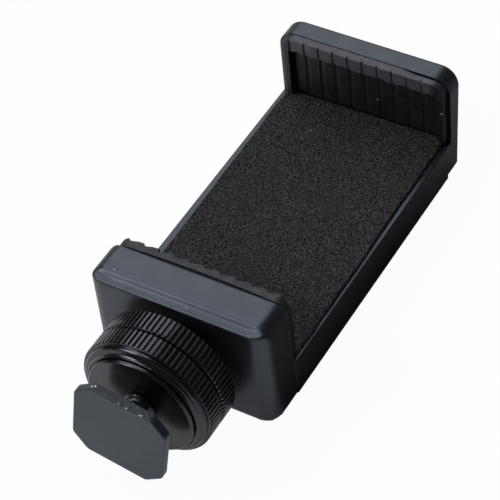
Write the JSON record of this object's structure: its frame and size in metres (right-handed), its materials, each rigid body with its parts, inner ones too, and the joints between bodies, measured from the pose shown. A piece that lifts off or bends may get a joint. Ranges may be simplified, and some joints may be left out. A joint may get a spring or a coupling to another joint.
{
  "type": "phone clamp with hot-shoe adapter",
  "caption": "Spring-loaded phone clamp with padded jaws, screwed on a hot-shoe foot with knurled lock wheels.",
  "frame": {"origin": "centre of the bed's flat back face, which the part is laid on", "axes": "+Z out of the bed towards the phone, +Y from the sliding jaw and its hot-shoe foot to the fixed jaw, +X across the clamp"},
  "size_m": [0.0374, 0.0962, 0.0264],
  "materials": {
    "moulded_plastic": "satin black moulded ABS with a fine spark texture",
    "cover_plastic": "matt black moulded ABS",
    "foam": "black closed-cell foam sheet with a fine grain",
    "pad_rubber": "black moulded rubber",
    "screw_steel": "zinc-plated steel",
    "rod_chrome": "polished steel",
    "spring_steel": "drawn spring wire",
    "insert_brass": "turned brass",
    "stud_steel": "blackened steel thread",
    "foot_paint": "satin black paint, chipped to bare metal along its edges",
    "anodised": "glossy black anodised aluminium with straight knurling",
    "washer_anodised": "glossy black anodised aluminium",
    "washer_rubber": "black rubber"
  },
  "bodies": {
    "bed": {"bed_frame": "moulded_plastic", "back_cover": "cover_plastic", "cover_screws": "screw_steel", "bed_foam": "foam", "fixed_jaw_pad": "pad_rubber", "return_spring_left": "spring_steel", "return_spring_right": "spring_steel"},
    "jaw": {"sliding_jaw": "moulded_plastic", "sliding_jaw_pad": "pad_rubber", "threaded_insert": "insert_brass", "guide_rod_left": "rod_chrome", "guide_rod_right": "rod_chrome", "rod_bridge": "cover_plastic", "rod_clips": "screw_steel"},
    "adapter": {"threaded_stud": "stud_steel", "shoe_foot": "foot_paint"},
    "rear_washer": {"jam_washer": "washer_rubber"},
    "rear_wheel": {"rear_lock_wheel": "anodised"},
    "front_washer": {"clamp_washer": "washer_anodised"},
    "front_wheel": {"front_lock_wheel": "anodised"}
  },
  "joints": [
    {"name": "jaw_slide", "type": "slide", "parent": "bed", "child": "jaw", "axis": [0, -1, 0], "range_m": [0, 0.027], "stiffness_N_per_m": 250, "springref_m": -0.02, "deforming": ["return_spring_left", "return_spring_right"]},
    {"name": "adapter_turn", "type": "hinge", "parent": "jaw", "child": "adapter", "pos_m": [0, -0.0391, 0.0107], "axis": [0, -1, 0], "range_deg": [-180, 180]},
    {"name": "rear_washer_travel", "type": "slide", "parent": "adapter", "child": "rear_washer", "axis": [0, 1, 0], "range_m": [0, 0.0017]},
    {"name": "rear_wheel_turn", "type": "hinge", "parent": "rear_washer", "child": "rear_wheel", "pos_m": [0, -0.0439, 0.0107], "axis": [0, 1, 0], "range_deg": [0, 482]},
    {"name": "front_washer_travel", "type": "slide", "parent": "adapter", "child": "front_washer", "axis": [0, -1, 0], "range_m": [0, 0.0051]},
    {"name": "front_wheel_turn", "type": "hinge", "parent": "front_washer", "child": "front_wheel", "pos_m": [0, -0.0484, 0.0107], "axis": [0, -1, 0], "range_deg": [0, 1445]}
  ],
  "couplings": [
    {"joint": "rear_wheel_turn", "follows": "rear_washer_travel", "rad_per_m": 4947.4},
    {"joint": "front_wheel_turn", "follows": "front_washer_travel", "rad_per_m": 4947.4}
  ]
}
